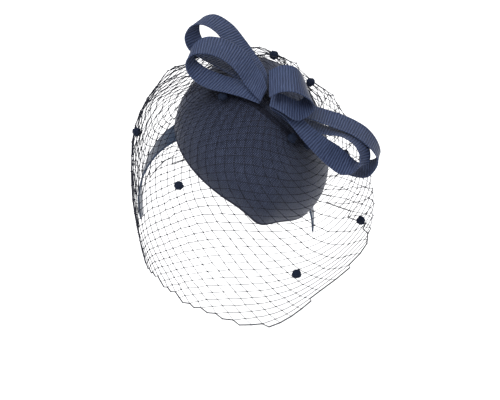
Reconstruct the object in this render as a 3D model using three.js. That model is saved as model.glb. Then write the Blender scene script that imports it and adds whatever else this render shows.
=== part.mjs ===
import * as THREE from 'three';
import { mergeVertices } from 'three/addons/utils/BufferGeometryUtils.js';

// A navy sinamay pillbox hat on a satin headband, with a looped bow and a dotted veil.
// Millimetres, +Z up, +X to the wearer's left, -Y to the front.
// The origin is the seat on top of the head, where the headband's inner face lies.

// Sizes
const HEAD_CENTRE = new THREE.Vector3(0, 40, -112);
const HEAD_HALF = new THREE.Vector3(82, 102, 122);
const SEAT_GAP = 0.3;

const BAND = { thickness: 2.2, topWidth: 21, endWidth: 9, leanDeg: 20, reachDeg: 97, steps: 44 };

const CROWN = {
  wall: 1.6,
  leanLeft: 0.49,
  leanFront: 0.15,
  tipTurnDeg: 72,
  roundRadius: 83.5,
  tipDistance: 70,
  tipRadius: 20,
  height: 44,
  bulge: 5,
  around: 56,
  rings: 9,
};
const HEAD_ARC = 100;

const STRAW = 1.2;
const LOOP_STEPS = 34;

const VEIL = { thickness: 1.2, bar: 3.0, columns: 17, rows: 7, slant: 2.8, gatherGap: 1.6, drapeGap: 2.2 };
const GATHER = { halfLength: 46, halfWidth: 5 };

// Each tuft of the veil is named by the bar column and bar row that it sits on
const TUFT = { radius: 3.8, seatGap: 0.3 };
const TUFTS = [
  { column: 12, row: 3.5 },
  { column: 15, row: 3.25 },
  { column: 15, row: 0.5 },
  { column: 7, row: 1.75 },
  { column: 5.5, row: 2 },
  { column: 2, row: 0.25 },
  { column: 3, row: 0.5 },
  { column: 0, row: 5 },
  { column: 1.75, row: 5 },
  { column: 4, row: 5.5 },
  { column: 5.5, row: 4 },
  { column: 7, row: 5 },
  { column: 9, row: 3 },
  { column: 6, row: 6.5 },
];

// Colours
const satin = new THREE.MeshStandardMaterial({ color: 0x1d3048, roughness: 0.38, metalness: 0 });
const crownStraw = new THREE.MeshStandardMaterial({ color: 0x1f2639, roughness: 0.62, metalness: 0 });
const bowStraw = new THREE.MeshStandardMaterial({ color: 0x2c3552, roughness: 0.55, metalness: 0 });
const net = new THREE.MeshStandardMaterial({ color: 0x1a2033, roughness: 0.7, metalness: 0 });
const chenille = new THREE.MeshStandardMaterial({ color: 0x0d1a33, roughness: 0.95, metalness: 0 });

const rad = THREE.MathUtils.degToRad;

// Point of the head, grown by a distance, in a direction from its centre
function onHead(direction, grow) {
  const half = HEAD_HALF.clone().addScalar(grow);
  const reach = 1 / direction.clone().divide(half).length();
  return direction.clone().multiplyScalar(reach).add(HEAD_CENTRE);
}

// Closed body from a grid of outer points and a grid of inner points, both [row][column]
function shellBody(outer, inner) {
  const rows = outer.length;
  const columns = outer[0].length;
  const points = [];
  const faces = [];
  for (const grid of [outer, inner]) for (const row of grid) points.push(...row);
  const at = (side, i, j) => side * rows * columns + i * columns + j;
  const quad = (a, b, c, d) => faces.push(a, b, c, a, c, d);
  const last = columns - 1;
  for (let i = 0; i < rows - 1; i++) {
    for (let j = 0; j < last; j++) {
      quad(at(0, i, j), at(0, i, j + 1), at(0, i + 1, j + 1), at(0, i + 1, j));
      quad(at(1, i, j), at(1, i + 1, j), at(1, i + 1, j + 1), at(1, i, j + 1));
    }
  }
  for (let j = 0; j < last; j++) {
    quad(at(0, 0, j), at(1, 0, j), at(1, 0, j + 1), at(0, 0, j + 1));
    quad(at(0, rows - 1, j), at(0, rows - 1, j + 1), at(1, rows - 1, j + 1), at(1, rows - 1, j));
  }
  for (let i = 0; i < rows - 1; i++) {
    quad(at(0, i, 0), at(0, i + 1, 0), at(1, i + 1, 0), at(1, i, 0));
    quad(at(0, i, last), at(1, i, last), at(1, i + 1, last), at(0, i + 1, last));
  }
  return geometryFrom(points, faces);
}

function geometryFrom(points, faces) {
  const geometry = new THREE.BufferGeometry();
  const flat = points.flatMap((p) => [p.x, p.y, p.z]);
  geometry.setAttribute('position', new THREE.Float32BufferAttribute(flat, 3));
  geometry.setIndex(faces);
  const merged = mergeVertices(geometry, 1e-4);
  merged.computeVertexNormals();
  return merged;
}

// Strip of cloth or straw through rungs, each a front and a back end of one line across it
function strip(rungs, thickness, steps) {
  const fronts = new THREE.CatmullRomCurve3(rungs.map((rung) => rung.front), false, 'centripetal');
  const backs = new THREE.CatmullRomCurve3(rungs.map((rung) => rung.back), false, 'centripetal');
  const outer = [];
  const inner = [];
  for (let i = 0; i <= steps; i++) {
    const t = i / steps;
    const front = fronts.getPoint(t);
    const back = backs.getPoint(t);
    const run = fronts.getTangent(t).add(backs.getTangent(t));
    const across = back.clone().sub(front);
    const normal = run.cross(across).normalize().multiplyScalar(thickness / 2);
    outer.push([front.clone().sub(normal), back.clone().sub(normal)]);
    inner.push([front.clone().add(normal), back.clone().add(normal)]);
  }
  return shellBody(outer, inner);
}

function mesh(name, geometry, material) {
  const piece = new THREE.Mesh(geometry, material);
  piece.name = name;
  return piece;
}

// Headband: a satin strip over the head from ear to ear, leaning forward at the top
function headbandGeometry() {
  const lean = rad(BAND.leanDeg);
  const down = new THREE.Vector3(0, Math.sin(lean), -Math.cos(lean));
  const planeNormal = new THREE.Vector3(0, -Math.cos(lean), -Math.sin(lean));
  const middle = HEAD_CENTRE.clone();
  middle.addScaledVector(planeNormal, -HEAD_CENTRE.dot(planeNormal));
  const edge = (angle, aside, height) => {
    const aim = new THREE.Vector3(Math.sin(angle), 0, 0).addScaledVector(down, -Math.cos(angle));
    const direction = middle.clone().addScaledVector(aim, HEAD_HALF.x * 1.25);
    direction.addScaledVector(planeNormal, aside).sub(HEAD_CENTRE);
    return onHead(direction, height);
  };
  const outer = [];
  const inner = [];
  for (let i = 0; i <= BAND.steps; i++) {
    const share = (2 * i) / BAND.steps - 1;
    const angle = rad(BAND.reachDeg) * share;
    const half = THREE.MathUtils.lerp(BAND.topWidth, BAND.endWidth, share ** 4) / 2;
    outer.push([edge(angle, -half, BAND.thickness), edge(angle, half, BAND.thickness)]);
    inner.push([edge(angle, -half, 0), edge(angle, half, 0)]);
  }
  return shellBody(outer, inner);
}

// Crown frame: its axis leans to the wearer's left and to the front, its tip points forward
const crownAxis = new THREE.Vector3(CROWN.leanLeft, -CROWN.leanFront, 1).normalize();
const crownSideways = new THREE.Vector3(0, 1, 0).cross(crownAxis).normalize();
const crownBackwards = crownAxis.clone().cross(crownSideways);
const crownTip = crownSideways
  .clone()
  .multiplyScalar(Math.cos(rad(CROWN.tipTurnDeg)))
  .addScaledVector(crownBackwards, -Math.sin(rad(CROWN.tipTurnDeg)));
const crownAside = crownAxis.clone().cross(crownTip);

// Teardrop outline: a large round back and a small round tip, joined by their two tangents
function teardropReach(angle) {
  const { roundRadius, tipDistance, tipRadius } = CROWN;
  const tangentTurn = Math.acos((roundRadius - tipRadius) / tipDistance);
  const turn = Math.abs(Math.atan2(Math.sin(angle), Math.cos(angle)));
  if (turn >= tangentTurn) return roundRadius;
  const tipEnd = Math.atan2(
    tipRadius * Math.sin(tangentTurn),
    tipDistance + tipRadius * Math.cos(tangentTurn),
  );
  if (turn > tipEnd) return roundRadius / Math.cos(turn - tangentTurn);
  const aside = tipDistance * Math.sin(turn);
  return tipDistance * Math.cos(turn) + Math.sqrt(tipRadius ** 2 - aside ** 2);
}

// Point of the crown: share runs from 0 at the apex to 1 at the rim, inward is below its skin
function crownPoint(angle, share, inward) {
  const outwards = crownTip
    .clone()
    .multiplyScalar(Math.cos(angle))
    .addScaledVector(crownAside, Math.sin(angle));
  const arc = (share * (teardropReach(angle) - inward)) / HEAD_ARC;
  const direction = crownAxis.clone().multiplyScalar(Math.cos(arc)).addScaledVector(outwards, Math.sin(arc));
  const base = onHead(direction, BAND.thickness + SEAT_GAP);
  const rise = Math.sqrt(1 - share ** 3);
  base.addScaledVector(crownAxis, (CROWN.height - inward) * rise);
  return base.addScaledVector(outwards, CROWN.bulge * Math.sin(Math.PI * rise));
}

function crownGrid(inward) {
  const grid = [];
  for (let i = 0; i <= CROWN.rings; i++) {
    const share = Math.sin((Math.PI / 2) * (i / CROWN.rings)) ** 0.8;
    const row = [];
    for (let j = 0; j < CROWN.around; j++) {
      row.push(crownPoint((2 * Math.PI * j) / CROWN.around, share, inward));
    }
    grid.push(row);
  }
  return grid;
}

// The crown is one domed shell of straw, open below
function crownGeometry() {
  const outer = crownGrid(0);
  const inner = crownGrid(CROWN.wall);
  const points = [];
  const faces = [];
  const n = CROWN.around;
  for (const grid of [outer, inner]) {
    points.push(grid[0][0]);
    for (const row of grid.slice(1)) points.push(...row);
  }
  const size = 1 + CROWN.rings * n;
  const at = (side, i, j) => side * size + (i === 0 ? 0 : 1 + (i - 1) * n + (j % n));
  for (let i = 0; i < CROWN.rings; i++) {
    for (let j = 0; j < n; j++) {
      faces.push(at(0, i, j), at(0, i + 1, j), at(0, i + 1, j + 1));
      faces.push(at(1, i, j), at(1, i + 1, j + 1), at(1, i + 1, j));
      if (i === 0) continue;
      faces.push(at(0, i, j), at(0, i + 1, j + 1), at(0, i, j + 1));
      faces.push(at(1, i, j), at(1, i, j + 1), at(1, i + 1, j + 1));
    }
  }
  const rim = CROWN.rings;
  for (let j = 0; j < n; j++) {
    faces.push(at(0, rim, j), at(1, rim, j), at(1, rim, j + 1));
    faces.push(at(0, rim, j), at(1, rim, j + 1), at(0, rim, j + 1));
  }
  return geometryFrom(points, faces);
}

// Bow: five loops of straw strip, drawn in a frame that faces the bow's front,
// with x to its right, y away behind it and z up, measured from its middle.
// Each row is one line across a strip: its front end and its back end.
const BOW = { place: new THREE.Vector3(44.1, -16.6, 28.2), turnDeg: 9, tiltDeg: 26 };

const BOW_LOOPS = {
  bow_loop_left_lower: [
    { fx: -3, fy: -12, fz: 3, bx: 3, by: -6, bz: 15 },
    { fx: -8, fy: -10, fz: 8, bx: 0, by: -1, bz: 26 },
    { fx: -15, fy: -8, fz: 16, bx: -5, by: 4, bz: 34 },
    { fx: -23, fy: -7, fz: 28, bx: -12, by: 6, bz: 44 },
    { fx: -32, fy: -6, fz: 37, bx: -23, by: 7, bz: 53 },
    { fx: -43, fy: -5, fz: 43, bx: -37, by: 8, bz: 60 },
    { fx: -54, fy: -5, fz: 45, bx: -51, by: 8, bz: 61 },
    { fx: -62, fy: -5, fz: 44, bx: -60, by: 7, bz: 56 },
    { fx: -68, fy: -5, fz: 38, bx: -64, by: 7, bz: 48 },
    { fx: -67, fy: -5, fz: 29, bx: -59, by: 7, bz: 40 },
    { fx: -59, fy: -5, fz: 20, bx: -48, by: 7, bz: 32 },
    { fx: -47, fy: -5, fz: 14, bx: -35, by: 6, bz: 27 },
    { fx: -34, fy: -6, fz: 11, bx: -22, by: 4, bz: 23 },
    { fx: -20, fy: -8, fz: 7, bx: -10, by: -1, bz: 18 },
    { fx: -4, fy: -9, fz: 1, bx: 2, by: -3, bz: 12 },
  ],
  bow_loop_left_upper: [
    { fx: -3, fy: -6.7, fz: 2, bx: 3, by: -1, bz: 13 },
    { fx: -5, fy: 2, fz: 18, bx: 3, by: 9, bz: 29 },
    { fx: -20, fy: 9, fz: 37, bx: -7, by: 21, bz: 47 },
    { fx: -33, fy: 12, fz: 54, bx: -17, by: 23, bz: 61 },
    { fx: -43, fy: 13, fz: 66, bx: -29, by: 24, bz: 75 },
    { fx: -54, fy: 13, fz: 72, bx: -44, by: 24, bz: 83 },
    { fx: -64, fy: 13, fz: 71, bx: -55, by: 24, bz: 79 },
    { fx: -70, fy: 13, fz: 62, bx: -57, by: 24, bz: 69 },
    { fx: -67, fy: 13, fz: 51, bx: -53, by: 24, bz: 59 },
    { fx: -55, fy: 13, fz: 42, bx: -41, by: 24, bz: 50 },
    { fx: -40, fy: 12, fz: 34, bx: -27, by: 23, bz: 42 },
    { fx: -24, fy: 8, fz: 24, bx: -13, by: 17, bz: 33 },
    { fx: -12, fy: 1, fz: 12, bx: -4, by: 8, bz: 22 },
    { fx: -4, fy: -5, fz: 1, bx: 2, by: 2, bz: 12 },
  ],
  bow_loop_right_inner: [
    { fx: 6, fy: -7, fz: -3, bx: 12, by: 0, bz: 9 },
    { fx: 17, fy: -5, fz: -10, bx: 21, by: 2, bz: 1 },
    { fx: 29, fy: -4, fz: -18, bx: 31, by: 4, bz: -8 },
    { fx: 42, fy: -2, fz: -23, bx: 45, by: 7, bz: -14 },
    { fx: 56, fy: -3, fz: -26, bx: 60, by: 8, bz: -19 },
    { fx: 68, fy: -6, fz: -28, bx: 74, by: 8, bz: -22 },
    { fx: 79, fy: -6, fz: -35, bx: 87, by: 8, bz: -28 },
    { fx: 84, fy: -6, fz: -43, bx: 94, by: 8, bz: -38 },
    { fx: 84, fy: -6, fz: -52, bx: 93, by: 8, bz: -50 },
    { fx: 78, fy: -6, fz: -60, bx: 84, by: 7, bz: -50 },
    { fx: 68, fy: -6, fz: -61, bx: 76, by: 6, bz: -44 },
    { fx: 57, fy: -7, fz: -54, bx: 67, by: 4, bz: -36 },
    { fx: 46, fy: -9, fz: -44, bx: 57, by: -2, bz: -30 },
    { fx: 35, fy: -11, fz: -32, bx: 46, by: -5, bz: -22 },
    { fx: 26, fy: -12, fz: -21, bx: 35, by: -7, bz: -13 },
    { fx: 17, fy: -12, fz: -10, bx: 24, by: -5, bz: -3 },
    { fx: 6, fy: -9, fz: -3, bx: 12, by: -2, bz: 9 },
  ],
  bow_loop_right_outer: [
    { fx: 5, fy: -11, fz: -2, bx: 11, by: -4, bz: 10 },
    { fx: 20, fy: -11, fz: -5, bx: 24, by: -3, bz: 7 },
    { fx: 33, fy: -8, fz: -10, bx: 37, by: 3, bz: 2 },
    { fx: 48, fy: -4, fz: -15, bx: 52, by: 8, bz: -2 },
    { fx: 65, fy: -2, fz: -21, bx: 71, by: 11, bz: -8 },
    { fx: 77, fy: -1, fz: -26, bx: 84, by: 13, bz: -14 },
    { fx: 88, fy: 1, fz: -33, bx: 95, by: 15, bz: -22 },
    { fx: 97, fy: 3, fz: -41, bx: 102, by: 17, bz: -32 },
    { fx: 101, fy: 5, fz: -49, bx: 104, by: 19, bz: -41 },
    { fx: 99, fy: 7, fz: -56, bx: 100, by: 21, bz: -46 },
    { fx: 92, fy: 9, fz: -63, bx: 94, by: 22, bz: -48 },
    { fx: 82, fy: 10, fz: -63, bx: 84, by: 22, bz: -50 },
    { fx: 70, fy: 10, fz: -59, bx: 74, by: 21, bz: -46 },
    { fx: 58, fy: 9, fz: -51, bx: 67, by: 19, bz: -38 },
    { fx: 46, fy: 6, fz: -41, bx: 56, by: 15, bz: -30 },
    { fx: 34, fy: 3, fz: -29, bx: 44, by: 11, bz: -19 },
    { fx: 22, fy: -1, fz: -16, bx: 31, by: 7, bz: -7 },
    { fx: 7, fy: -3, fz: -4, bx: 12, by: 4.7, bz: 8 },
  ],
  bow_loop_centre: [
    { fx: 5, fy: -19, fz: 6, bx: 5, by: -6, bz: 30 },
    { fx: 15, fy: -25, fz: 10, bx: 15, by: -11, bz: 34 },
    { fx: 25, fy: -26, fz: 10, bx: 24, by: -12, bz: 34 },
    { fx: 34, fy: -23, fz: 7, bx: 30, by: -9, bz: 31 },
    { fx: 42, fy: -17, fz: 2, bx: 35, by: -3, bz: 23 },
    { fx: 44, fy: -12, fz: -4, bx: 38, by: 1, bz: 14 },
    { fx: 38, fy: -13, fz: -11, bx: 35, by: -2, bz: 7 },
    { fx: 28, fy: -17, fz: -14, bx: 29, by: -7, bz: 4 },
    { fx: 17, fy: -18, fz: -8, bx: 18, by: -9, bz: 9 },
    { fx: 5, fy: -12.4, fz: -1, bx: 8, by: -5.2, bz: 12 },
  ],
};

function bowGroup() {
  const bow = new THREE.Group();
  bow.position.copy(BOW.place);
  bow.rotation.set(rad(-BOW.tiltDeg), 0, rad(BOW.turnDeg), 'ZYX');
  for (const [name, rows] of Object.entries(BOW_LOOPS)) {
    const rungs = rows.map((row) => ({
      front: new THREE.Vector3(row.fx, row.fy, row.fz),
      back: new THREE.Vector3(row.bx, row.by, row.bz),
    }));
    bow.add(mesh(name, strip(rungs, STRAW, LOOP_STEPS), bowStraw));
  }
  return bow;
}

// Veil: sections down its length at bearings around the head's upright axis,
// 0 at the front and 90 at the wearer's left. Each has a shoulder, a belly and a rim,
// given by distance from the axis and by height.
const VEIL_SECTIONS = [
  { bearing: 0, shoulderR: 92, shoulderZ: -33, bellyR: 111, bellyZ: -95, rimR: 108, rimZ: -160 },
  { bearing: 30, shoulderR: 96, shoulderZ: -30, bellyR: 113, bellyZ: -103, rimR: 110, rimZ: -175 },
  { bearing: 60, shoulderR: 104, shoulderZ: -30, bellyR: 119, bellyZ: -108, rimR: 106, rimZ: -165 },
  { bearing: 90, shoulderR: 110, shoulderZ: -25, bellyR: 137, bellyZ: -95, rimR: 134, rimZ: -137 },
  { bearing: 120, shoulderR: 106, shoulderZ: -6, bellyR: 138, bellyZ: -82, rimR: 128, rimZ: -142 },
  { bearing: 150, shoulderR: 92, shoulderZ: 18, bellyR: 124, bellyZ: -55, rimR: 120, rimZ: -133 },
  { bearing: 180, shoulderR: 80, shoulderZ: 32, bellyR: 114, bellyZ: -38, rimR: 110, rimZ: -118 },
  { bearing: 210, shoulderR: 74, shoulderZ: 24, bellyR: 106, bellyZ: -45, rimR: 104, rimZ: -105 },
  { bearing: 240, shoulderR: 80, shoulderZ: 5, bellyR: 97, bellyZ: -48, rimR: 92, rimZ: -97 },
  { bearing: 270, shoulderR: 76, shoulderZ: -5, bellyR: 90, bellyZ: -62, rimR: 85, rimZ: -122 },
  { bearing: 300, shoulderR: 70, shoulderZ: -18, bellyR: 89, bellyZ: -86, rimR: 82, rimZ: -145 },
  { bearing: 330, shoulderR: 78, shoulderZ: -28, bellyR: 101, bellyZ: -90, rimR: 93, rimZ: -149 },
];

// Smooth value of one column at any bearing, through the four nearest rows
function veilColumn(name, bearing) {
  const count = VEIL_SECTIONS.length;
  const step = 360 / count;
  const place = (((bearing % 360) + 360) % 360) / step;
  const i = Math.floor(place);
  const t = place - i;
  const [a, b, c, d] = [-1, 0, 1, 2].map((k) => VEIL_SECTIONS[(i + k + count) % count][name]);
  const bend = 2 * a - 5 * b + 4 * c - d;
  const twist = 3 * b - a - 3 * c + d;
  return b + 0.5 * t * (c - a + t * (bend + t * twist));
}

// The veil is gathered along the bow's foot and pushed out where it would meet the crown
const STAR_CENTRE = new THREE.Vector3(15, 30, -70);
const FAR = 400;
const bowAlong = new THREE.Vector3(0.82, -0.14, -0.555);
const bowAcross = new THREE.Vector3(0.1, -0.89, 0.37);

function veilSurface(crown) {
  const caster = new THREE.Raycaster();
  const clearOfCrown = (point, gap, snap) => {
    const direction = point.clone().sub(STAR_CENTRE);
    const reach = direction.length();
    direction.normalize();
    caster.set(STAR_CENTRE.clone().addScaledVector(direction, FAR), direction.clone().negate());
    const hit = caster.intersectObject(crown)[0];
    if (!hit) return point;
    const least = FAR - hit.distance + gap + VEIL.thickness / 2;
    return snap || reach < least ? STAR_CENTRE.clone().addScaledVector(direction, least) : point;
  };
  return (bearing, share) => {
    const turn = rad(bearing);
    const foot = BOW.place
      .clone()
      .addScaledVector(bowAlong, GATHER.halfLength * Math.sin(turn))
      .addScaledVector(bowAcross, GATHER.halfWidth * Math.cos(turn));
    const section = ['shoulder', 'belly', 'rim'].map((level) => {
      const out = veilColumn(`${level}R`, bearing);
      const x = out * Math.sin(turn);
      const y = HEAD_CENTRE.y - out * Math.cos(turn);
      return new THREE.Vector3(x, y, veilColumn(`${level}Z`, bearing));
    });
    const line = [clearOfCrown(foot, VEIL.gatherGap, true), ...section];
    const curve = new THREE.CatmullRomCurve3(line, false, 'centripetal');
    const gap = THREE.MathUtils.lerp(VEIL.gatherGap, VEIL.drapeGap, Math.min(1, share * VEIL.rows));
    return clearOfCrown(curve.getPointAt(share), gap, false);
  };
}

// The net as one body: a skin with one gap cut through each mesh of its bars
function veilGeometry(surface) {
  const { columns, rows, thickness, bar, slant } = VEIL;
  const points = [];
  const faces = [];
  const cellPoint = (i, j) => {
    const share = j / rows;
    return surface(((i + slant * share) * 360) / columns, share);
  };
  const normalAt = (i, j) => {
    const d = 0.02;
    const along = cellPoint(i + d, j).sub(cellPoint(i - d, j));
    const down = cellPoint(i, Math.min(rows, j + d)).sub(cellPoint(i, Math.max(0, j - d)));
    return down.cross(along).normalize();
  };
  const place = (point, normal) => {
    points.push(point.clone().addScaledVector(normal, thickness / 2));
    points.push(point.clone().addScaledVector(normal, -thickness / 2));
    return points.length - 2;
  };
  const corners = new Map();
  const corner = (i, j) => {
    const key = `${((i % columns) + columns) % columns}_${j}`;
    if (!corners.has(key)) corners.set(key, place(cellPoint(i, j), normalAt(i, j)));
    return corners.get(key);
  };
  const around = [[0, 0], [0.5, 0], [1, 0], [1, 0.5], [1, 1], [0.5, 1], [0, 1], [0, 0.5]];
  for (let j = 0; j < rows; j++) {
    for (let i = 0; i < columns; i++) {
      const width = cellPoint(i, j + 0.5).distanceTo(cellPoint(i + 1, j + 0.5));
      const height = cellPoint(i + 0.5, j).distanceTo(cellPoint(i + 0.5, j + 1));
      const insetU = Math.min(0.3, bar / 2 / width);
      const insetV = Math.min(0.3, bar / 2 / height);
      const border = around.map(([u, v]) => corner(i + u, j + v));
      const hole = around.map(([u, v]) => {
        const hu = i + THREE.MathUtils.clamp(u, insetU, 1 - insetU);
        const hv = j + THREE.MathUtils.clamp(v, insetV, 1 - insetV);
        return place(cellPoint(hu, hv), normalAt(hu, hv));
      });
      for (let k = 0; k < around.length; k++) {
        const next = (k + 1) % around.length;
        const [a, b, c, d] = [border[k], border[next], hole[next], hole[k]];
        faces.push(a, c, b, a, d, c);
        faces.push(a + 1, b + 1, c + 1, a + 1, c + 1, d + 1);
        faces.push(d, d + 1, c + 1, d, c + 1, c);
      }
    }
  }
  for (let i = 0; i < columns; i += 0.5) {
    const [a, b] = [corner(i, 0), corner(i + 0.5, 0)];
    faces.push(a, b, b + 1, a, b + 1, a + 1);
    const [c, d] = [corner(i, rows), corner(i + 0.5, rows)];
    faces.push(c, d + 1, d, c, c + 1, d + 1);
  }
  return geometryFrom(points, faces);
}

// Chenille tuft of the veil
function tuftGeometry() {
  const ball = new THREE.IcosahedronGeometry(TUFT.radius, 1);
  ball.deleteAttribute('normal');
  ball.deleteAttribute('uv');
  return mergeVertices(ball, 1e-4);
}

// Outward normal of the veil at a bar column and bar row, and the point where it meets the bars
function veilSeat(surface, veil, column, row) {
  const at = (i, j) => {
    const share = THREE.MathUtils.clamp(j / VEIL.rows, 0, 1);
    return surface(((i + VEIL.slant * share) * 360) / VEIL.columns, share);
  };
  const d = 0.02;
  const along = at(column + d, row).sub(at(column - d, row));
  const down = at(column, row + d).sub(at(column, row - d));
  const normal = down.cross(along).normalize();
  const start = at(column, row).addScaledVector(normal, TUFT.radius);
  const caster = new THREE.Raycaster(start, normal.clone().negate());
  return { point: caster.intersectObject(veil)[0].point, normal };
}

const hat = new THREE.Group();
hat.add(mesh('headband', headbandGeometry(), satin));
const crownMesh = mesh('crown', crownGeometry(), crownStraw);
hat.add(crownMesh);
hat.add(bowGroup());
const veilAt = veilSurface(crownMesh);
const veilMesh = mesh('veil', veilGeometry(veilAt), net);
hat.add(veilMesh);
TUFTS.forEach(({ column, row }, i) => {
  const { point, normal } = veilSeat(veilAt, veilMesh, column, row);
  const tuft = mesh(`veil_dot_${String(i + 1).padStart(2, '0')}`, tuftGeometry(), chenille);
  tuft.position.copy(point).addScaledVector(normal, TUFT.seatGap + TUFT.radius);
  hat.add(tuft);
});

export default hat;
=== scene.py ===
import math
import random

import bmesh
import bpy
import numpy as np
from mathutils import Matrix, Vector
from mathutils import noise as mnoise
from mathutils.bvhtree import BVHTree


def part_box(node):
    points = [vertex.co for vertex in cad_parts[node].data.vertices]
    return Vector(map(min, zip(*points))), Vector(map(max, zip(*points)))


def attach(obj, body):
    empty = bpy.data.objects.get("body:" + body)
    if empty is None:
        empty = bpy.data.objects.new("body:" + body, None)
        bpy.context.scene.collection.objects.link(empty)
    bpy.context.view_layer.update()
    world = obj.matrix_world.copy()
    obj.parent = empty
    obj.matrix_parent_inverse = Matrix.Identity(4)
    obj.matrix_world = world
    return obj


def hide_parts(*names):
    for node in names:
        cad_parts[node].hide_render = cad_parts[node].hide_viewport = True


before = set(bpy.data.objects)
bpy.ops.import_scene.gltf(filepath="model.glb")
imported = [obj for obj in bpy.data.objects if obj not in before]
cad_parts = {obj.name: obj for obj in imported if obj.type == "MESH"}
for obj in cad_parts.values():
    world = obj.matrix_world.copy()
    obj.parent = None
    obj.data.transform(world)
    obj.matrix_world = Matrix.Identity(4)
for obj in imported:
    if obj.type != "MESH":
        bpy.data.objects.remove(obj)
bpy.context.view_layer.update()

# A navy pillbox hat: woven straw crown, satin headband, looped straw bow and a dotted veil.
# Sizes are in millimetres in the tables and in metres on the objects.
MM = 0.001
rng = random.Random(7)

# Camera at the photograph's angle
CAMERA_PLACE = np.array([246.4, -1370.2, 603.1]) * MM
CAMERA_RIGHT = Vector((0.9877, 0.1564, 0.0))
CAMERA_UP = Vector((-0.0686, 0.4330, 0.8988))
CAMERA_BACK = Vector((0.1406, -0.8877, 0.4384))
camera_data = bpy.data.cameras.new("camera")
camera_data.sensor_fit = "HORIZONTAL"
camera_data.sensor_width = 36.0
camera_data.lens = 121.25
camera = bpy.data.objects.new("camera", camera_data)
bpy.context.collection.objects.link(camera)
turn = Matrix((CAMERA_RIGHT, CAMERA_UP, CAMERA_BACK)).transposed().to_4x4()
camera.matrix_world = Matrix.Translation(Vector(CAMERA_PLACE)) @ turn
bpy.context.scene.camera = camera


# Head, band and crown, as in the solids
HEAD_CENTRE = np.array([0.0, 40.0, -112.0])
HEAD_HALF = np.array([82.0, 102.0, 122.0])
SEAT_GAP = 0.3
BAND_THICKNESS = 2.2
BAND_TOP_WIDTH = 21.0
BAND_END_WIDTH = 9.0
BAND_LEAN = math.radians(20)
BAND_REACH = math.radians(97)

CROWN_WALL = 1.6
CROWN_LEAN_LEFT = 0.49
CROWN_LEAN_FRONT = 0.15
CROWN_TIP_TURN = math.radians(72)
CROWN_ROUND_RADIUS = 83.5
CROWN_TIP_DISTANCE = 70.0
CROWN_TIP_RADIUS = 20.0
CROWN_HEIGHT = 44.0
CROWN_BULGE = 5.0
HEAD_ARC = 100.0


def unit(v):
    return v / np.linalg.norm(v)


def on_head(direction, grow):
    """Point in a direction from the head's centre, a height over the head."""
    half = HEAD_HALF + grow
    return direction / np.linalg.norm(direction / half) + HEAD_CENTRE


crown_axis = unit(np.array([CROWN_LEAN_LEFT, -CROWN_LEAN_FRONT, 1.0]))
crown_sideways = unit(np.cross([0.0, 1.0, 0.0], crown_axis))
crown_backwards = np.cross(crown_axis, crown_sideways)
crown_tip = crown_sideways * math.cos(CROWN_TIP_TURN) - crown_backwards * math.sin(CROWN_TIP_TURN)
crown_aside = np.cross(crown_axis, crown_tip)


def teardrop_reach(angle):
    """Distance from the crown's middle to its teardrop rim."""
    tangent_turn = math.acos((CROWN_ROUND_RADIUS - CROWN_TIP_RADIUS) / CROWN_TIP_DISTANCE)
    turned = abs(math.atan2(math.sin(angle), math.cos(angle)))
    if turned >= tangent_turn:
        return CROWN_ROUND_RADIUS
    tip_end = math.atan2(
        CROWN_TIP_RADIUS * math.sin(tangent_turn),
        CROWN_TIP_DISTANCE + CROWN_TIP_RADIUS * math.cos(tangent_turn),
    )
    if turned > tip_end:
        return CROWN_ROUND_RADIUS / math.cos(turned - tangent_turn)
    aside = CROWN_TIP_DISTANCE * math.sin(turned)
    return CROWN_TIP_DISTANCE * math.cos(turned) + math.sqrt(CROWN_TIP_RADIUS ** 2 - aside ** 2)


def crown_point(angle, share, inward):
    """Point of the crown: share runs from 0 at the apex to 1 at the rim."""
    outwards = crown_tip * math.cos(angle) + crown_aside * math.sin(angle)
    arc = share * (teardrop_reach(angle) - inward) / HEAD_ARC
    direction = crown_axis * math.cos(arc) + outwards * math.sin(arc)
    base = on_head(direction, BAND_THICKNESS + SEAT_GAP)
    rise = math.sqrt(max(0.0, 1 - share ** 3))
    base = base + crown_axis * (CROWN_HEIGHT - inward) * rise
    return base + outwards * CROWN_BULGE * math.sin(math.pi * rise)


class Curve:
    """Centripetal curve through points, as the solids use."""

    def __init__(self, points):
        p = np.array(points, float)
        self.p = np.vstack([2 * p[0] - p[1], p, 2 * p[-1] - p[-2]])
        self.n = len(points) - 1
        dt = np.sum(np.diff(self.p, axis=0) ** 2, axis=1) ** 0.25
        self.coefficients = []
        for k in range(self.n):
            x0, x1, x2, x3 = self.p[k:k + 4]
            dt1 = dt[k + 1] if dt[k + 1] > 1e-4 else 1.0
            dt0 = dt[k] if dt[k] > 1e-4 else dt1
            dt2 = dt[k + 2] if dt[k + 2] > 1e-4 else dt1
            t1 = ((x1 - x0) / dt0 - (x2 - x0) / (dt0 + dt1) + (x2 - x1) / dt1) * dt1
            t2 = ((x2 - x1) / dt1 - (x3 - x1) / (dt1 + dt2) + (x3 - x2) / dt2) * dt1
            self.coefficients.append((x1, t1, -3 * x1 + 3 * x2 - 2 * t1 - t2, 2 * x1 - 2 * x2 + t1 + t2))

    def at(self, t):
        k = min(self.n - 1, max(0, int(t * self.n)))
        w = t * self.n - k
        c0, c1, c2, c3 = self.coefficients[k]
        return c0 + w * (c1 + w * (c2 + w * c3))

    def at_length(self, share, samples=16):
        """Point at a share of the curve's length."""
        ws = np.linspace(0, 1, samples + 1)[:, None]
        pieces = [c0 + ws * (c1 + ws * (c2 + ws * c3)) for c0, c1, c2, c3 in self.coefficients]
        line = np.vstack([pieces[0]] + [piece[1:] for piece in pieces[1:]])
        lengths = np.concatenate([[0], np.cumsum(np.linalg.norm(np.diff(line, axis=0), axis=1))])
        place = share * lengths[-1]
        return np.array([np.interp(place, lengths, line[:, k]) for k in range(3)])


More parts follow.
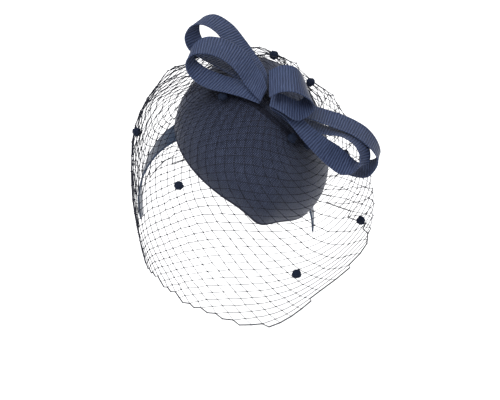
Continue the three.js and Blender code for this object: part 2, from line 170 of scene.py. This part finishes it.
def make_mesh(name, points, faces, uvs=None, smooth=True):
    """A mesh object from points in millimetres; uvs holds one pair a point, in millimetres too."""
    data = bpy.data.meshes.new(name)
    data.from_pydata([tuple(p) for p in np.array(points, float) * MM], [], faces)
    if uvs is not None:
        layer = data.uv_layers.new(name="cloth")
        order = np.empty(len(data.loops), dtype=np.int32)
        data.loops.foreach_get("vertex_index", order)
        layer.data.foreach_set("uv", np.array(uvs, np.float32)[order].ravel())
    data.validate()
    data.update()
    if smooth:
        data.polygons.foreach_set("use_smooth", [True] * len(data.polygons))
    piece = bpy.data.objects.new(name, data)
    bpy.context.collection.objects.link(piece)
    return piece


def dress(piece, material, slot, *nodes):
    """Material, body and the solids that the piece stands for; slot is not used."""
    piece.data.materials.append(material)
    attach(piece, "root")
    if nodes:
        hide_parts(*nodes)


class Nodes:
    """Short calls for a material's nodes."""

    def __init__(self, name):
        self.material = bpy.data.materials.new(name)
        self.material.use_nodes = True
        self.tree = self.material.node_tree
        self.shader = self.tree.nodes["Principled BSDF"]

    def add(self, kind, **values):
        node = self.tree.nodes.new(kind)
        for key, value in values.items():
            setattr(node, key, value)
        return node

    def link(self, out, into):
        self.tree.links.new(out, into)

    def maths(self, operation, a, b=None):
        node = self.add("ShaderNodeMath", operation=operation)
        for i, value in enumerate((a, b)):
            if value is None:
                continue
            if isinstance(value, (int, float)):
                node.inputs[i].default_value = value
            else:
                self.link(value, node.inputs[i])
        return node.outputs[0]

    def ramp(self, fac, stops):
        node = self.add("ShaderNodeValToRGB")
        ramp = node.color_ramp
        while len(ramp.elements) < len(stops):
            ramp.elements.new(0.5)
        for element, (place, colour) in zip(ramp.elements, stops):
            element.position = place
            element.color = (*colour, 1.0)
        self.link(fac, node.inputs["Fac"])
        return node.outputs["Color"]

    def bump(self, height, distance, strength=1.0):
        node = self.add("ShaderNodeBump")
        node.inputs["Distance"].default_value = distance
        node.inputs["Strength"].default_value = strength
        self.link(height, node.inputs["Height"])
        self.link(node.outputs["Normal"], self.shader.inputs["Normal"])

    def put(self, **values):
        for key, value in values.items():
            self.shader.inputs[key.replace("_", " ")].default_value = value


def woven(name, stops, across, along, rib, rib_share, roughness, distance):
    """Straw woven from threads of two pitches in mm, with ribs across it where rib isn't 0; the colour
    follows the weave and rib height, so raised threads and rib crests carry a painted highlight.
    """
    n = Nodes(name)
    uv = n.add("ShaderNodeUVMap", uv_map="cloth")
    parts = n.add("ShaderNodeSeparateXYZ")
    n.link(uv.outputs["UV"], parts.inputs[0])
    wander = n.add("ShaderNodeTexNoise")
    wander.inputs["Scale"].default_value = 0.22
    wander.inputs["Detail"].default_value = 2.0
    n.link(uv.outputs["UV"], wander.inputs["Vector"])
    drift = n.maths("MULTIPLY", n.maths("SUBTRACT", wander.outputs["Fac"], 0.5), 1.4)
    u = n.maths("ADD", parts.outputs[0], drift)
    v = n.maths("ADD", parts.outputs[1], drift)
    wave_u = n.maths("SINE", n.maths("MULTIPLY", u, 2 * math.pi / across))
    wave_v = n.maths("SINE", n.maths("MULTIPLY", v, 2 * math.pi / along))
    weave = n.maths("MULTIPLY", wave_u, wave_v)
    height = n.maths("MULTIPLY_ADD", weave, 0.5)
    height.node.inputs[2].default_value = 0.5
    if rib:
        ribs = n.maths("SINE", n.maths("MULTIPLY", v, 2 * math.pi / rib))
        lifted = n.maths("MULTIPLY_ADD", ribs, 0.5)
        lifted.node.inputs[2].default_value = 0.5
        height = n.maths(
            "ADD", n.maths("MULTIPLY", height, 1 - rib_share), n.maths("MULTIPLY", lifted, rib_share)
        )
    streak = n.add("ShaderNodeTexNoise")
    streak.inputs["Scale"].default_value = 1.0
    streak.inputs["Detail"].default_value = 3.0
    stretched = n.add("ShaderNodeMapping")
    stretched.inputs["Scale"].default_value = (0.12, 1.1, 1.0)
    n.link(uv.outputs["UV"], stretched.inputs["Vector"])
    n.link(stretched.outputs["Vector"], streak.inputs["Vector"])
    # Painted highlight: tone lifts the colour ramp with the weave and rib height, so crests of threads and
    # ribs are painted lighter; the streak noise is the straw's own uneven tone.
    tone = n.maths(
        "ADD", n.maths("MULTIPLY", height, 0.55), n.maths("MULTIPLY", streak.outputs["Fac"], 0.5)
    )
    n.link(n.ramp(tone, stops), n.shader.inputs["Base Color"])
    gloss = n.maths("MULTIPLY_ADD", streak.outputs["Fac"], 0.22)
    gloss.node.inputs[2].default_value = roughness - 0.1
    n.link(gloss, n.shader.inputs["Roughness"])
    n.bump(height, distance)
    return n


# Crown colour ramp: dark navy straw in the low stops; the bright top stop is a painted highlight on the
# thread crests.
CROWN_TONES_AND_HIGHLIGHTS = [
    (0.30, (0.0015, 0.0020, 0.0060)),
    (0.52, (0.0045, 0.0060, 0.0150)),
    (0.74, (0.080, 0.098, 0.165)),
]
# Bow colour ramp: dark navy straw in the low stops; the light top stop is a painted highlight on the rib
# and thread crests.
BOW_TONES_AND_HIGHLIGHTS = [
    (0.25, (0.0050, 0.0080, 0.0220)),
    (0.5, (0.014, 0.022, 0.055)),
    (0.80, (0.048, 0.066, 0.132)),
]

crown_nodes = woven(
    "crown_straw", CROWN_TONES_AND_HIGHLIGHTS, across=2.0, along=2.0, rib=0, rib_share=0, roughness=0.42, distance=0.00060
)
crown_nodes.put(Specular_IOR_Level=0.3, Specular_Tint=(0.6, 0.7, 1.0, 1.0), Sheen_Weight=0.03)
crown_straw = crown_nodes.material

bow_nodes = woven(
    "bow_straw", BOW_TONES_AND_HIGHLIGHTS, across=1.7, along=1.2, rib=2.4, rib_share=0.62, roughness=0.42, distance=0.00050
)
bow_nodes.put(Specular_IOR_Level=0.32, Specular_Tint=(0.6, 0.72, 1.0, 1.0), Sheen_Weight=0.04)
bow_straw = bow_nodes.material


def satin_material():
    """Satin with fine threads along the band and soft clouds of tone."""
    n = Nodes("satin")
    uv = n.add("ShaderNodeUVMap", uv_map="cloth")
    threads = n.add("ShaderNodeTexNoise")
    threads.inputs["Scale"].default_value = 1.0
    threads.inputs["Detail"].default_value = 4.0
    stretched = n.add("ShaderNodeMapping")
    stretched.inputs["Scale"].default_value = (6.0, 0.25, 1.0)
    n.link(uv.outputs["UV"], stretched.inputs["Vector"])
    n.link(stretched.outputs["Vector"], threads.inputs["Vector"])
    cloud = n.add("ShaderNodeTexNoise")
    cloud.inputs["Scale"].default_value = 0.05
    n.link(uv.outputs["UV"], cloud.inputs["Vector"])
    thread_tone = n.maths("MULTIPLY", threads.outputs["Fac"], 0.5)
    cloud_tone = n.maths("MULTIPLY", cloud.outputs["Fac"], 0.5)
    tone = n.maths("ADD", thread_tone, cloud_tone)
    stops = [(0.3, (0.004, 0.010, 0.026)), (0.7, (0.010, 0.026, 0.060))]
    n.link(n.ramp(tone, stops), n.shader.inputs["Base Color"])
    n.put(Roughness=0.3, Anisotropic=0.5, Sheen_Weight=0.05)
    n.put(Specular_IOR_Level=0.45, Specular_Tint=(0.5, 0.7, 1.0, 1.0))
    n.bump(threads.outputs["Fac"], 0.00015)
    return n.material


def thread_material(name, low, high, scale, roughness, sheen):
    """Plain yarn, speckled between two colours."""
    n = Nodes(name)
    place = n.add("ShaderNodeTexCoord")
    speckle = n.add("ShaderNodeTexNoise")
    speckle.inputs["Scale"].default_value = scale
    speckle.inputs["Detail"].default_value = 3.0
    n.link(place.outputs["Object"], speckle.inputs["Vector"])
    n.link(n.ramp(speckle.outputs["Fac"], [(0.3, low), (0.7, high)]), n.shader.inputs["Base Color"])
    n.put(Roughness=roughness, Sheen_Weight=sheen, Sheen_Roughness=0.5, Specular_IOR_Level=0.2)
    n.bump(speckle.outputs["Fac"], 0.0002, 0.6)
    return n.material


satin = satin_material()
net_thread = thread_material("net_thread", (0.003, 0.004, 0.010), (0.007, 0.009, 0.020), 900.0, 0.6, 0.0)
chenille = thread_material("chenille", (0.002, 0.004, 0.012), (0.006, 0.014, 0.036), 1500.0, 0.95, 0.04)
binding = thread_material("binding", (0.003, 0.004, 0.012), (0.008, 0.011, 0.028), 1200.0, 0.5, 0.0)


CROWN_RINGS = 40
CROWN_AROUND = 144
BINDING_STEPS = 200
BINDING_SIDES = 10
BINDING_HALF_WIDTH = 1.25
BINDING_HALF_HEIGHT = 2.2
BINDING_RISE = 0.9


def build_crown():
    """Shell of the crown, with an outer and an inner face joined at the rim."""
    rings, around = CROWN_RINGS, CROWN_AROUND
    points, uvs, faces = [], [], []
    for side, inward in enumerate((0.0, CROWN_WALL)):
        run = np.zeros(around)
        before = None
        for i in range(rings + 1):
            share = math.sin((math.pi / 2) * i / rings) ** 0.8
            row = np.array([crown_point(2 * math.pi * j / around, share, inward) for j in range(around)])
            if before is not None:
                run = run + np.linalg.norm(row - before, axis=1)
            before = row
            for j in range(around):
                angle = 2 * math.pi * j / around
                points.append(row[j])
                uvs.append((run[j] * math.cos(angle), run[j] * math.sin(angle)))
    size = (rings + 1) * around

    def at(side, i, j):
        return side * size + i * around + j % around

    for i in range(rings):
        for j in range(around):
            faces.append((at(0, i, j), at(0, i + 1, j), at(0, i + 1, j + 1), at(0, i, j + 1)))
            faces.append((at(1, i, j), at(1, i, j + 1), at(1, i + 1, j + 1), at(1, i + 1, j)))
    for j in range(around):
        faces.append((at(0, rings, j), at(1, rings, j), at(1, rings, j + 1), at(0, rings, j + 1)))
    dress(make_mesh("crown_cloth", points, faces, uvs), crown_straw, "crown_straw", "crown")



def build_binding():
    """Cord bound round the crown's rim."""
    points, faces = [], []
    steps, sides = BINDING_STEPS, BINDING_SIDES
    centres = []
    for k in range(steps):
        angle = 2 * math.pi * k / steps
        centres.append(crown_point(angle, 1.0, 0.0) * 0.5 + crown_point(angle, 1.0, CROWN_WALL) * 0.5)
    for k in range(steps):
        tangent = unit(centres[(k + 1) % steps] - centres[k - 1])
        out = unit(np.cross(tangent, crown_axis))
        up = np.cross(out, tangent)
        for s in range(sides):
            a = 2 * math.pi * s / sides
            beside = out * BINDING_HALF_WIDTH * math.cos(a)
            points.append(centres[k] + beside + up * (BINDING_HALF_HEIGHT * math.sin(a) + BINDING_RISE))
    for k in range(steps):
        for s in range(sides):
            a, b = k * sides + s, k * sides + (s + 1) % sides
            c, d = ((k + 1) % steps) * sides + (s + 1) % sides, ((k + 1) % steps) * sides + s
            faces.append((a, b, c, d))
    dress(make_mesh("crown_rim_binding", points, faces), binding, "crown_straw")


# Places across a strip, closer together at its edges
ACROSS = [0.0, 0.01, 0.03, 0.07, 0.12, 0.18, 0.26, 0.34, 0.42, 0.5]
ACROSS += [0.58, 0.66, 0.74, 0.82, 0.88, 0.93, 0.97, 0.99, 1.0]
EDGE_THINNING = 0.45
STRIP_RIPPLE = 0.35
STRIP_RIPPLE_SCALE = 0.06


def closed_strip(name, lines, thickness, hem, crown=0.0):
    """Strip with rolled edges from (front, back, normal) lines; hem is the edges' width in mm."""
    points, uvs, faces = [], [], []
    ring = 2 * len(ACROSS) - 2
    along = 0.0
    for i, (front, back, normal) in enumerate(lines):
        if i:
            step = (front + back) / 2 - (lines[i - 1][0] + lines[i - 1][1]) / 2
            along += np.linalg.norm(step)
        width = np.linalg.norm(back - front)
        section = []
        for u in ACROSS:
            edge = min(u, 1 - u) * width
            blend = min(1.0, edge / hem)
            half = thickness / 2 * (1.0 - EDGE_THINNING * (3 * blend ** 2 - 2 * blend ** 3))
            if edge < half:
                half *= math.sqrt(max(0.0, 1 - (1 - edge / half) ** 2))
            ripple = STRIP_RIPPLE * mnoise.noise(Vector(front * (1 - u) + back * u) * STRIP_RIPPLE_SCALE)
            lift = crown * (1 - (2 * u - 1) ** 2) + ripple
            section.append((front * (1 - u) + back * u + normal * lift, half, u * width))
        for centre, half, across in section:
            points.append(centre + normal * half)
            uvs.append((across, along))
        for centre, half, across in section[-2:0:-1]:
            points.append(centre - normal * half)
            uvs.append((across, along))
    for i in range(len(lines) - 1):
        for k in range(ring):
            a, b = i * ring + k, i * ring + (k + 1) % ring
            faces.append((a, a + ring, b + ring, b))
    last = (len(lines) - 1) * ring
    faces.append(tuple(range(ring)))
    faces.append(tuple(last + k for k in reversed(range(ring))))
    return make_mesh(name, points, faces, uvs)


BAND_STEPS = 150
BAND_HEM = 3.0
BAND_CROWN = 0.25


def build_headband():
    """Satin band over the head from ear to ear, narrower at its ends."""
    down = np.array([0.0, math.sin(BAND_LEAN), -math.cos(BAND_LEAN)])
    plane_normal = np.array([0.0, -math.cos(BAND_LEAN), -math.sin(BAND_LEAN)])
    middle = HEAD_CENTRE - plane_normal * HEAD_CENTRE.dot(plane_normal)

    def edge(angle, aside, height):
        aim = np.array([math.sin(angle), 0.0, 0.0]) - down * math.cos(angle)
        direction = middle + aim * HEAD_HALF[0] * 1.25 + plane_normal * aside - HEAD_CENTRE
        return on_head(direction, height)

    lines = []
    for i in range(BAND_STEPS + 1):
        share = 2 * i / BAND_STEPS - 1
        angle = BAND_REACH * share
        half = (BAND_TOP_WIDTH + (BAND_END_WIDTH - BAND_TOP_WIDTH) * share ** 4) / 2
        front, back = edge(angle, half, BAND_THICKNESS / 2), edge(angle, -half, BAND_THICKNESS / 2)
        outwards = unit((front + back) / 2 - HEAD_CENTRE)
        lines.append((front, back, outwards))
    strip = closed_strip("headband_satin", lines, BAND_THICKNESS, BAND_HEM, BAND_CROWN)
    dress(strip, satin, "satin", "headband")


BOW_PLACE = np.array([44.1, -16.6, 28.2])
BOW_TURN_DEG = 9
BOW_TILT_DEG = -26
BOW_TURN = Matrix.Rotation(math.radians(BOW_TURN_DEG), 3, "Z")
BOW_TURN = np.array(BOW_TURN @ Matrix.Rotation(math.radians(BOW_TILT_DEG), 3, "X"))
STRAW = 1.2
STRAW_HEM = 2.6
BOW_STEPS = 170

# Each row is one line across a strip, front end then back end, in the bow's own frame:
# x to its right, y away behind it, z up. Columns: fx, fy, fz, bx, by, bz
BOW_LOOPS = {
    "bow_loop_left_lower": [
        (-3, -12, 3, 3, -6, 15),
        (-8, -10, 8, 0, -1, 26),
        (-15, -8, 16, -5, 4, 34),
        (-23, -7, 28, -12, 6, 44),
        (-32, -6, 37, -23, 7, 53),
        (-43, -5, 43, -37, 8, 60),
        (-54, -5, 45, -51, 8, 61),
        (-62, -5, 44, -60, 7, 56),
        (-68, -5, 38, -64, 7, 48),
        (-67, -5, 29, -59, 7, 40),
        (-59, -5, 20, -48, 7, 32),
        (-47, -5, 14, -35, 6, 27),
        (-34, -6, 11, -22, 4, 23),
        (-20, -8, 7, -10, -1, 18),
        (-4, -9, 1, 2, -3, 12),
    ],
    "bow_loop_left_upper": [
        (-3, -6.7, 2, 3, -1, 13),
        (-5, 2, 18, 3, 9, 29),
        (-20, 9, 37, -7, 21, 47),
        (-33, 12, 54, -17, 23, 61),
        (-43, 13, 66, -29, 24, 75),
        (-54, 13, 72, -44, 24, 83),
        (-64, 13, 71, -55, 24, 79),
        (-70, 13, 62, -57, 24, 69),
        (-67, 13, 51, -53, 24, 59),
        (-55, 13, 42, -41, 24, 50),
        (-40, 12, 34, -27, 23, 42),
        (-24, 8, 24, -13, 17, 33),
        (-12, 1, 12, -4, 8, 22),
        (-4, -5, 1, 2, 2, 12),
    ],
    "bow_loop_right_inner": [
        (6, -7, -3, 12, 0, 9),
        (17, -5, -10, 21, 2, 1),
        (29, -4, -18, 31, 4, -8),
        (42, -2, -23, 45, 7, -14),
        (56, -3, -26, 60, 8, -19),
        (68, -6, -28, 74, 8, -22),
        (79, -6, -35, 87, 8, -28),
        (84, -6, -43, 94, 8, -38),
        (84, -6, -52, 93, 8, -50),
        (78, -6, -60, 84, 7, -50),
        (68, -6, -61, 76, 6, -44),
        (57, -7, -54, 67, 4, -36),
        (46, -9, -44, 57, -2, -30),
        (35, -11, -32, 46, -5, -22),
        (26, -12, -21, 35, -7, -13),
        (17, -12, -10, 24, -5, -3),
        (6, -9, -3, 12, -2, 9),
    ],
    "bow_loop_right_outer": [
        (5, -11, -2, 11, -4, 10),
        (20, -11, -5, 24, -3, 7),
        (33, -8, -10, 37, 3, 2),
        (48, -4, -15, 52, 8, -2),
        (65, -2, -21, 71, 11, -8),
        (77, -1, -26, 84, 13, -14),
        (88, 1, -33, 95, 15, -22),
        (97, 3, -41, 102, 17, -32),
        (101, 5, -49, 104, 19, -41),
        (99, 7, -56, 100, 21, -46),
        (92, 9, -63, 94, 22, -48),
        (82, 10, -63, 84, 22, -50),
        (70, 10, -59, 74, 21, -46),
        (58, 9, -51, 67, 19, -38),
        (46, 6, -41, 56, 15, -30),
        (34, 3, -29, 44, 11, -19),
        (22, -1, -16, 31, 7, -7),
        (7, -3, -4, 12, 4.7, 8),
    ],
    "bow_loop_centre": [
        (5, -19, 6, 5, -6, 30),
        (15, -25, 10, 15, -11, 34),
        (25, -26, 10, 24, -12, 34),
        (34, -23, 7, 30, -9, 31),
        (42, -17, 2, 35, -3, 23),
        (44, -12, -4, 38, 1, 14),
        (38, -13, -11, 35, -2, 7),
        (28, -17, -14, 29, -7, 4),
        (17, -18, -8, 18, -9, 9),
        (5, -12.4, -1, 8, -5.2, 12),
    ],
}

# Sections down the veil at bearings round the head's upright axis, 0 in front and 90 at the left.
# Columns: shoulder radius and height, belly radius and height, rim radius and height
VEIL_SECTIONS = [
    (92, -33, 111, -95, 108, -160),
    (96, -30, 113, -103, 110, -175),
    (104, -30, 119, -108, 106, -165),
    (110, -25, 137, -95, 134, -137),
    (106, -6, 138, -82, 128, -142),
    (92, 18, 124, -55, 120, -133),
    (80, 32, 114, -38, 110, -118),
    (74, 24, 106, -45, 104, -105),
    (80, 5, 97, -48, 92, -97),
    (76, -5, 90, -62, 85, -122),
    (70, -18, 89, -86, 82, -145),
    (78, -28, 101, -90, 93, -149),
]

TUFT_COUNT = 14


def build_bow():
    """The five loops, each a strip through its table's lines."""
    for name, rows in BOW_LOOPS.items():
        table = np.array(rows, float)
        fronts, backs = Curve(table[:, :3]), Curve(table[:, 3:])
        lines = []
        for i in range(BOW_STEPS + 1):
            t = i / BOW_STEPS
            low, high = max(0.0, t - 1e-3), min(1.0, t + 1e-3)
            run = unit(fronts.at(high) - fronts.at(low)) + unit(backs.at(high) - backs.at(low))
            front, back = fronts.at(t), backs.at(t)
            normal = -unit(np.cross(run, back - front))
            lines.append(
                (BOW_TURN @ front + BOW_PLACE, BOW_TURN @ back + BOW_PLACE, BOW_TURN @ normal)
            )
        dress(closed_strip(f"{name}_straw", lines, STRAW, STRAW_HEM), bow_straw, "bow_straw", name)


# Veil: the gap to the crown grows from the gather over the first of the solids' bar rows
VEIL_BAR_ROWS = 7
VEIL_THICKNESS = 1.2
VEIL_GATHER_GAP = 1.6
VEIL_DRAPE_GAP = 2.2
GATHER_HALF_LENGTH = 46.0
GATHER_HALF_WIDTH = 5.0
BOW_ALONG = np.array([0.82, -0.14, -0.555])
BOW_ACROSS = np.array([0.1, -0.89, 0.37])
STAR_CENTRE = np.array([15.0, 30.0, -70.0])
FAR = 400.0
NET_COLUMNS = 50
NET_ROWS = 28
NET_SLANT_DEG = 95.0
# Rows that the threads round the head have climbed, every 30 degrees of bearing
THREAD_RISE = [11.3, 14.0, 14.0, 12.6, 10.4, 8.2, 6.0, 4.0, 2.4, 1.0, 0.8, 5.8]
THREAD_RADIUS = 0.31
THREAD_SIDES = 4
EDGE_RADIUS = 0.6
EDGE_PULL = 0.25
FIRST_ROW = 0.6
CROSSING_STRAY = 0.06
KNOT_HALF = (0.75, 1.05)
GATHER_STRANDS = 14
GATHER_STEPS = 90
GATHER_RADIUS = 0.34
SETTLING_ROUNDS = 40

crown_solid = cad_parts["crown"]
crown_tree = BVHTree.FromPolygons(
    [crown_solid.matrix_world @ v.co for v in crown_solid.data.vertices],
    [tuple(p.vertices) for p in crown_solid.data.polygons],
)


def clear_of_crown(point, gap, snap):
    """The point moved out to the gap over the crown where it is nearer, or always with snap."""
    direction = point - STAR_CENTRE
    reach = np.linalg.norm(direction)
    direction = direction / reach
    start = (STAR_CENTRE + direction * FAR) * MM
    hit = crown_tree.ray_cast(Vector(start), Vector(-direction), FAR * MM)
    if hit[0] is None:
        return point
    least = FAR - hit[3] / MM + gap + VEIL_THICKNESS / 2
    return STAR_CENTRE + direction * least if snap or reach < least else point


def round_values(table, bearing):
    """Values at any bearing, through the four nearest rows of a table that goes round the head."""
    count = len(table)
    place = (bearing % 360) / (360 / count)
    i = int(place)
    t = place - i
    a, b, c, d = (table[(i + k) % count] for k in (-1, 0, 1, 2))
    return b + 0.5 * t * (c - a + t * (2 * a - 5 * b + 4 * c - d + t * (3 * b - a - 3 * c + d)))


def net_bearing(column, row):
    """Bearing of a net column at a row, both from 0: the columns slant to the wearer's left."""
    return column * 360 / NET_COLUMNS + NET_SLANT_DEG * row / NET_ROWS


def veil_point(bearing, share):
    """Point of the veil at a bearing and at a share of its length from the gather."""
    share = min(1.0, max(0.0, share))
    turned = math.radians(bearing)
    foot = BOW_PLACE + BOW_ALONG * GATHER_HALF_LENGTH * math.sin(turned)
    foot = foot + BOW_ACROSS * GATHER_HALF_WIDTH * math.cos(turned)
    values = round_values(np.array(VEIL_SECTIONS, float), bearing)
    line = [clear_of_crown(foot, VEIL_GATHER_GAP, True)]
    for out, height in values.reshape(3, 2):
        line.append(np.array([out * math.sin(turned), HEAD_CENTRE[1] - out * math.cos(turned), height]))
    gap = VEIL_GATHER_GAP + (VEIL_DRAPE_GAP - VEIL_GATHER_GAP) * min(1.0, share * VEIL_BAR_ROWS)
    return clear_of_crown(Curve(line).at_length(share), gap, False)


def net_point(column, row):
    """Point of the folded net at a column and a row."""
    bearing, share = net_bearing(column, row), row / NET_ROWS
    return crumple(veil_point(bearing, share), bearing, share)


def row_rise(bearing):
    """How far a thread that goes round the head has climbed at a bearing, in rows."""
    return round_values(THREAD_RISE, bearing)


def crossing_row(column, thread):
    """Row at which a thread round the head meets a column."""
    row = thread - row_rise(net_bearing(column, NET_ROWS))
    for _ in range(SETTLING_ROUNDS):
        row = 0.5 * row + 0.5 * (thread - row_rise(net_bearing(column, row)))
    return row


# Folds of the net: height, folds round the head, and how far they lean from gather to rim
FOLDS = ((3.2, 9, 5), (1.6, 17, -9))
DEEPEST_FOLD = -1.0
STIR = 7.0
STIR_SCALE = 0.06
STIR_STEP = 40.0


def crumple(point, bearing, share):
    """Folds of the net at the sides and the back, fading out at the gather and at the rim."""
    turned = math.radians(bearing)
    fade = math.sin(math.pi * min(1.0, max(0.0, share)) ** 0.7)
    behind = 0.5 - 0.5 * math.cos(turned)
    away = point - STAR_CENTRE
    away = away / np.linalg.norm(away)
    ripple = sum(height * math.sin(folds * turned + lean * share) for height, folds, lean in FOLDS)
    stir = np.array([mnoise.noise(Vector(point * STIR_SCALE + STIR_STEP * k)) for k in range(3)])
    stir -= away * stir.dot(away)
    return point + (away * max(DEEPEST_FOLD, ripple) + stir * STIR) * fade * behind


def thread_tubes(paths, sides=THREAD_SIDES):
    """Points and faces of thin tubes; a path is (points, radius)."""
    points, faces = [], []
    for line, radius in paths:
        line = np.array(line)
        start = len(points)
        tangents = np.gradient(line, axis=0)
        for p, tangent in zip(line, tangents):
            tangent = unit(tangent)
            side = np.cross(tangent, p - STAR_CENTRE)
            side = unit(side)
            up = np.cross(side, tangent)
            for s in range(sides):
                a = 2 * math.pi * s / sides
                points.append(p + (side * math.cos(a) + up * math.sin(a)) * radius)
        for k in range(len(line) - 1):
            for s in range(sides):
                a, b = start + k * sides + s, start + k * sides + (s + 1) % sides
                faces.append((a, b, b + sides, a + sides))
        end = start + (len(line) - 1) * sides
        faces.append(tuple(start + s for s in reversed(range(sides))))
        faces.append(tuple(end + s for s in range(sides)))
    return points, faces


def build_veil():
    """The net: slanting columns, threads round the head, a stepped edge and a knot a crossing."""
    crossings, rows, first, lowest = {}, {}, {}, {}
    for m in range(NET_COLUMNS):
        first[m] = math.ceil(FIRST_ROW + row_rise(net_bearing(m, FIRST_ROW)))
        lowest[m] = math.floor(NET_ROWS + row_rise(net_bearing(m, NET_ROWS)))
        for n in range(first[m], lowest[m] + 1):
            rows[m, n] = crossing_row(m, n)
            column = m + rng.uniform(-CROSSING_STRAY, CROSSING_STRAY)
            crossings[m, n] = net_point(column, rows[m, n] + rng.uniform(-CROSSING_STRAY, 0.0))

    edge = []
    for m in range(NET_COLUMNS):
        after = (m + 1) % NET_COLUMNS
        a, b = lowest[m], lowest[after]
        edge += [(m, n) for n in range(a, min(a, b) - 1, -1)]
        edge += [(after, n) for n in range(a, b)] if b > a else []
    edge = [key for i, key in enumerate(edge) if key != edge[i - 1]]
    for i, key in enumerate(edge):
        between = (crossings[edge[i - 1]] + crossings[edge[(i + 1) % len(edge)]]) / 2
        crossings[key] = crossings[key] * (1 - EDGE_PULL) + between * EDGE_PULL
    edge_sides = {frozenset((key, edge[(i + 1) % len(edge)])) for i, key in enumerate(edge)}

    paths = [([crossings[key] for key in edge + edge[:2]], EDGE_RADIUS)]
    for m in range(NET_COLUMNS):
        after = (m + 1) % NET_COLUMNS
        line = [veil_point(net_bearing(m, 0), 0.0)]
        line += [crossings[m, n] for n in range(first[m], lowest[m] + 1)]
        paths.append((line, THREAD_RADIUS))
        for n in range(first[m], lowest[m] + 1):
            if (after, n) not in crossings or frozenset(((m, n), (after, n))) in edge_sides:
                continue
            a, b = crossings[m, n], crossings[after, n]
            middle = net_point(m + 0.5, (rows[m, n] + rows[after, n]) / 2) * 0.6 + (a + b) * 0.2
            paths.append(([a, middle, b], THREAD_RADIUS))
    points, faces = thread_tubes(paths)
    for p in crossings.values():
        start = len(points)
        size = rng.uniform(*KNOT_HALF)
        for axis in range(3):
            for sign in (-1, 1):
                corner = np.array(p, float)
                corner[axis] += sign * size
                points.append(corner)
        for x in (0, 1):
            for y in (2, 3):
                for z in (4, 5):
                    face = (start + x, start + y, start + z)
                    faces.append(face if (x + y + z) % 2 else face[::-1])
    dress(make_mesh("veil_net", points, faces), net_thread, "net", "veil")


def build_gather():
    """The net drawn together under the bow: a rope of bunched threads along the gather."""
    paths = []
    for _ in range(GATHER_STRANDS):
        line = []
        phase = rng.uniform(0, 2 * math.pi)
        for k in range(GATHER_STEPS + 1):
            p = veil_point(360 * k / GATHER_STEPS, 0.012 + 0.012 * math.sin(phase + 0.5 * k))
            lift = 0.6 + 0.7 * math.sin(1.3 * k + 2 * phase)
            away = unit(p - STAR_CENTRE)
            line.append(p + away * lift)
        paths.append((line, GATHER_RADIUS))
    points, faces = thread_tubes(paths)
    dress(make_mesh("veil_gather", points, faces), net_thread, "net")


PILE_RADIUS = 3.9
PILE_LUMP = 0.7
PILE_STRAY = 0.55
PILE_SINK = 1.2


def build_tufts():
    """Chenille dots: balls of short pile."""
    for i in range(TUFT_COUNT):
        node = f"veil_dot_{i + 1:02d}"
        low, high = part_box(node)
        centre = (np.array(low) + np.array(high)) / 2 / MM
        inwards = unit(STAR_CENTRE - centre)
        ball = bmesh.new()
        bmesh.ops.create_icosphere(ball, subdivisions=4, radius=1.0)
        for vertex in ball.verts:
            away = np.array(vertex.co)
            lump = mnoise.noise(Vector(away * 1.6 + 3.0 * i))
            pile = rng.uniform(-1.0, 1.0)
            radius = PILE_RADIUS + PILE_LUMP * lump + PILE_STRAY * pile
            place = centre + inwards * PILE_SINK + away * radius
            vertex.co = Vector(place * MM)
        data = bpy.data.meshes.new(f"{node}_pile")
        ball.to_mesh(data)
        ball.free()
        piece = bpy.data.objects.new(f"{node}_pile", data)
        bpy.context.collection.objects.link(piece)
        dress(piece, chenille, "chenille", node)


build_crown()
build_binding()
build_headband()
build_bow()
build_veil()
build_gather()
build_tufts()


# Floor and light, in metres
FLOOR_REACH = 6.0
FLOOR_HEIGHT = -0.33
floor_corners = [
    (x * FLOOR_REACH, y * FLOOR_REACH, FLOOR_HEIGHT) for x, y in ((-1, -1), (1, -1), (1, 1), (-1, 1))
]
floor_data = bpy.data.meshes.new("floor")
floor_data.from_pydata(floor_corners, [], [(0, 1, 2, 3)])
floor = bpy.data.objects.new("floor", floor_data)
bpy.context.collection.objects.link(floor)
floor_nodes = Nodes("floor")
floor_nodes.put(Base_Color=(0.93, 0.93, 0.94, 1.0), Roughness=0.9, Specular_IOR_Level=0.1)
floor_data.materials.append(floor_nodes.material)


def softbox(name, place, size, power):
    """A rectangular lamp aimed at the hat."""
    data = bpy.data.lights.new(name, "AREA")
    data.shape = "RECTANGLE"
    data.size, data.size_y = size
    data.energy = power
    lamp = bpy.data.objects.new(name, data)
    bpy.context.collection.objects.link(lamp)
    lamp.location = place
    aim = Vector((0.02, 0.0, -0.02)) - Vector(place)
    lamp.rotation_euler = aim.to_track_quat("-Z", "Y").to_euler()


softbox("key_light", (-0.8, -1.0, 1.5), (0.9, 0.6), 16.0)
softbox("fill_light", (1.4, -0.9, 0.6), (0.8, 1.0), 7.0)
softbox("back_light", (0.3, 1.4, 1.3), (1.2, 0.6), 10.0)
sun_data = bpy.data.lights.new("sky_light", "SUN")
sun_data.energy = 2.6
sun_data.angle = math.radians(50)
sun = bpy.data.objects.new("sky_light", sun_data)
bpy.context.collection.objects.link(sun)
sun.rotation_euler = Vector((0.35, 0.3, -1.0)).to_track_quat("-Z", "Y").to_euler()

world = bpy.data.worlds.new("studio")
world.use_nodes = True
world.node_tree.nodes["Background"].inputs["Color"].default_value = (1.0, 1.0, 1.0, 1.0)
world.node_tree.nodes["Background"].inputs["Strength"].default_value = 0.45
bpy.context.scene.world = world
bpy.context.scene.view_settings.view_transform = "Standard"
